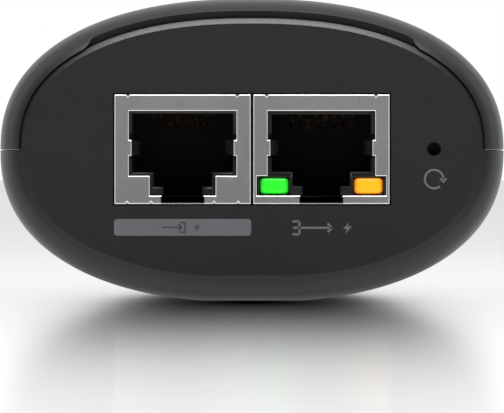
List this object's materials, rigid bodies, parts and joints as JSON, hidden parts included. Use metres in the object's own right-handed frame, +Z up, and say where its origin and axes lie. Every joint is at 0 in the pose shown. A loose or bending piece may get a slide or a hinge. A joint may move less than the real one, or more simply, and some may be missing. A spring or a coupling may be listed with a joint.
{
  "type": "power over ethernet injector",
  "caption": "Oval inline power-over-Ethernet injector: snap-together case, shielded network jacks in and out, status lamps, recessed reset switch and populated power board.",
  "frame": {"origin": "middle of the case's length and width, on the resting flat", "axes": "+Z up out of the cover, +Y along the case away from the port face, +X towards the reset hole"},
  "size_m": [0.06, 0.14, 0.036],
  "materials": {
    "case_charcoal": "fine matt moulded texture",
    "shield_plated": "satin nickel plating",
    "jack_moulding": "satin moulded",
    "contact_gold": "gold flashed",
    "lamp_green": "lit clear window",
    "lamp_orange": "lit clear window",
    "board_laminate": "solder mask over glass laminate",
    "bright_steel": "zinc plated",
    "black_moulding": "moulded epoxy",
    "capacitor_sleeve": "shrink sleeve",
    "suppressor_coating": "dipped coating",
    "ferrite": "sintered ferrite",
    "copper_wire": "enamelled copper",
    "winding_tape": "polyester tape",
    "bobbin_moulding": "moulded phenolic",
    "sink_aluminium": "extruded",
    "thermal_pad": "silicone"
  },
  "bodies": {
    "case_base": {"base_shell": "case_charcoal", "jack_in_shield": "shield_plated", "jack_in_housing": "jack_moulding", "jack_out_shield": "shield_plated", "jack_out_housing": "jack_moulding", "lamp_green": "lamp_green", "lamp_orange": "lamp_orange", "main_board": "board_laminate", "reset_riser_board": "board_laminate", "reset_switch_body": "bright_steel", "board_screw_1": "bright_steel", "board_screw_2": "bright_steel", "board_screw_3": "bright_steel", "board_screw_4": "bright_steel", "magnetics_in": "black_moulding", "magnetics_out": "black_moulding", "bridge_rectifier_1": "black_moulding", "bridge_rectifier_2": "black_moulding", "powered_device_controller": "black_moulding", "power_sourcing_controller": "black_moulding", "processor_chip": "black_moulding", "memory_chip": "black_moulding", "optocoupler": "black_moulding", "rectifier_diode": "black_moulding", "power_switch": "black_moulding", "line_fuse": "black_moulding", "clock_crystal": "bright_steel", "input_capacitor": "capacitor_sleeve", "output_capacitor_1": "capacitor_sleeve", "output_capacitor_2": "capacitor_sleeve", "surge_suppressor": "suppressor_coating", "choke_core": "ferrite", "transformer_core": "ferrite", "inductor_core": "ferrite", "choke_winding_1": "copper_wire", "choke_winding_2": "copper_wire", "inductor_winding": "copper_wire", "transformer_winding": "winding_tape", "transformer_bobbin": "bobbin_moulding", "heat_sink": "sink_aluminium", "thermal_pad": "thermal_pad"},
    "cover": {"top_cover": "case_charcoal"},
    "reset_button": {"reset_plunger": "black_moulding"},
    "in_contacts": {"jack_in_contact_1": "contact_gold", "jack_in_contact_2": "contact_gold", "jack_in_contact_3": "contact_gold", "jack_in_contact_4": "contact_gold", "jack_in_contact_5": "contact_gold", "jack_in_contact_6": "contact_gold", "jack_in_contact_7": "contact_gold", "jack_in_contact_8": "contact_gold"},
    "out_contacts": {"jack_out_contact_1": "contact_gold", "jack_out_contact_2": "contact_gold", "jack_out_contact_3": "contact_gold", "jack_out_contact_4": "contact_gold", "jack_out_contact_5": "contact_gold", "jack_out_contact_6": "contact_gold", "jack_out_contact_7": "contact_gold", "jack_out_contact_8": "contact_gold"}
  },
  "joints": [
    {"name": "cover_lift", "type": "slide", "parent": "case_base", "child": "cover", "axis": [0, 0, 1], "range_m": [0, 0.045]},
    {"name": "reset_press", "type": "slide", "parent": "case_base", "child": "reset_button", "axis": [0, 1, 0], "range_m": [0, 0.00025], "stiffness_N_per_m": 3000},
    {"name": "in_contacts_flex", "type": "hinge", "parent": "case_base", "child": "in_contacts", "pos_m": [-0.00825, -0.0684, 0.02257], "axis": [1, 0, 0], "range_deg": [0, 10], "stiffness_Nm_per_rad": 0.3},
    {"name": "out_contacts_flex", "type": "hinge", "parent": "case_base", "child": "out_contacts", "pos_m": [0.00825, -0.0684, 0.02257], "axis": [1, 0, 0], "range_deg": [0, 10], "stiffness_Nm_per_rad": 0.3}
  ]
}
